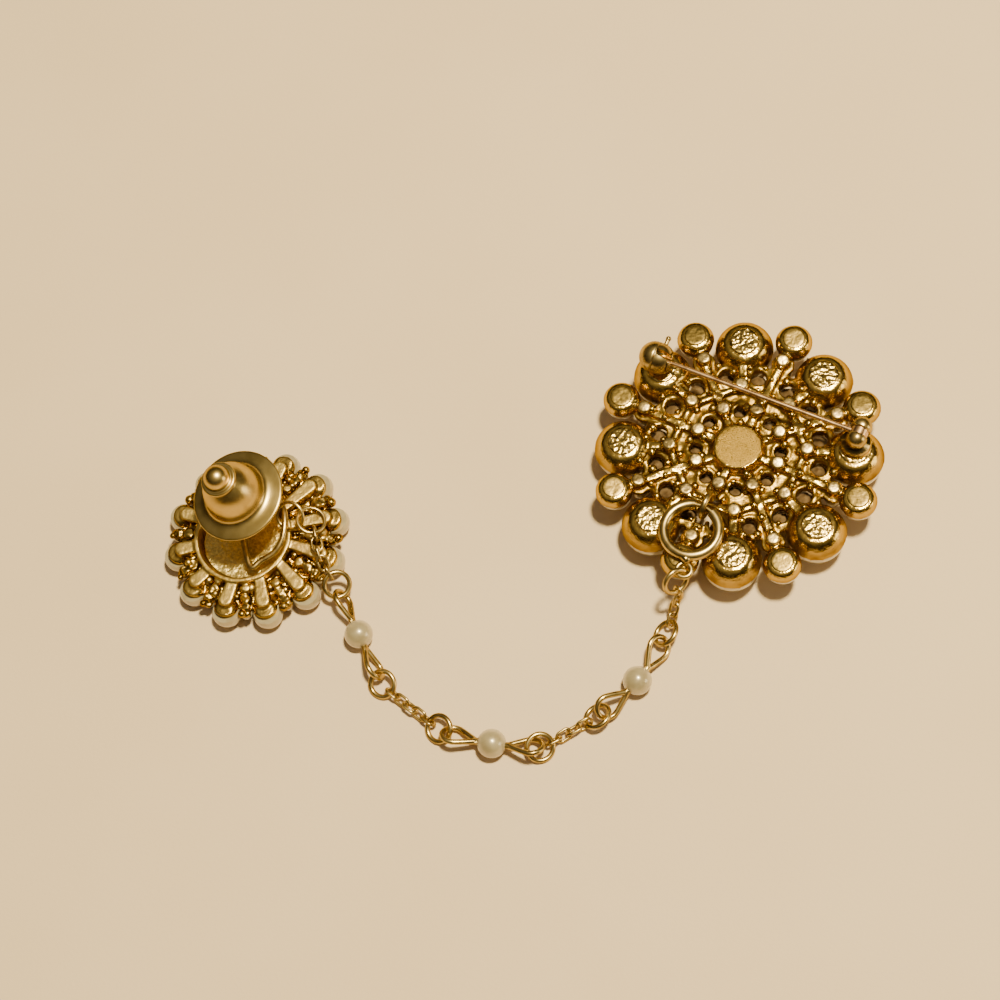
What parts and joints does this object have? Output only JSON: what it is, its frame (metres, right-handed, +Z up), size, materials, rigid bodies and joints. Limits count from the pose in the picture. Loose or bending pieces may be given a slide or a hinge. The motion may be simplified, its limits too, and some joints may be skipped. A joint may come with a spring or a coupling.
{
  "type": "chatelaine brooch",
  "caption": "Openwork pearl cluster brooch lying face down, with bar pin, safety catch and a pearl chain from its spring-ring clasp to a small tack-post cluster.",
  "frame": {"origin": "on the table under the middle of the laid-out piece", "axes": "+Z up from the table through the back, +X from the small cluster to the large one, +Y away from the chain"},
  "size_m": [0.1017, 0.0639, 0.0211],
  "materials": {
    "cast_gold": "bright cast gold plating",
    "pale_gold": "satin pale gold plating",
    "rose_gold": "drawn rose gold plating",
    "pearl": "cream imitation pearl",
    "cut_stone": "cut clear glass"
  },
  "bodies": {
    "piece": {"brooch_frame": "cast_gold", "centre_pearl": "pearl", "inner_pearls": "pearl", "inner_stones": "cut_stone", "rim_pearl_large_1": "pearl", "rim_pearl_large_2": "pearl", "rim_pearl_large_3": "pearl", "rim_pearl_large_4": "pearl", "rim_pearl_large_5": "pearl", "rim_pearl_large_6": "pearl", "rim_pearl_large_7": "pearl", "rim_pearl_large_8": "pearl", "rim_pearl_small_1": "pearl", "rim_pearl_small_2": "pearl", "rim_pearl_small_3": "pearl", "rim_pearl_small_4": "pearl", "rim_pearl_small_5": "pearl", "rim_pearl_small_6": "pearl", "rim_pearl_small_7": "pearl", "rim_pearl_small_8": "pearl", "frame_loop": "pale_gold", "clasp_ring": "pale_gold", "jump_ring_a": "pale_gold", "jump_ring_b": "pale_gold", "jump_ring_c": "pale_gold", "jump_ring_d": "pale_gold", "jump_ring_e": "pale_gold", "jump_ring_f": "pale_gold", "jump_ring_g": "pale_gold", "eye_wire_1": "pale_gold", "eye_wire_2": "pale_gold", "eye_wire_3": "pale_gold", "chain_pearl_1": "pearl", "chain_pearl_2": "pearl", "chain_pearl_3": "pearl", "end_ring_1": "pale_gold", "end_ring_2": "pale_gold", "cable_links_tack": "pale_gold", "cable_links_low": "pale_gold", "cable_links_mid": "pale_gold", "cable_links_clasp": "pale_gold", "tack_frame": "cast_gold", "tack_loop": "cast_gold", "tack_rim_pearls": "pearl", "tack_small_pearls": "pearl", "tack_centre_pearl": "pearl", "tack_stones": "cut_stone"},
    "pin": {"pin_stem": "rose_gold"},
    "catch": {"catch_lever": "pale_gold"},
    "bolt": {"clasp_bolt": "pale_gold"},
    "clutch": {"clutch": "pale_gold"}
  },
  "joints": [
    {"name": "pin_hinge", "type": "hinge", "parent": "piece", "child": "pin", "pos_m": [0.0472, 0.0124, 0.0101], "axis": [0.3858, 0.9226, 0], "range_deg": [0, 85]},
    {"name": "catch_turn", "type": "hinge", "parent": "piece", "child": "catch", "pos_m": [0.0197, 0.0239, 0.0101], "axis": [0.9226, -0.3858, 0], "range_deg": [0, 90]},
    {"name": "bolt_slide", "type": "hinge", "parent": "piece", "child": "bolt", "pos_m": [0.0246, -0.0011, 0.00835], "axis": [0, 0, 1], "range_deg": [0, 44]},
    {"name": "clutch_slide", "type": "slide", "parent": "piece", "child": "clutch", "axis": [-0.1601, -0.0399, 0.9863], "range_m": [0, 0.006]}
  ]
}
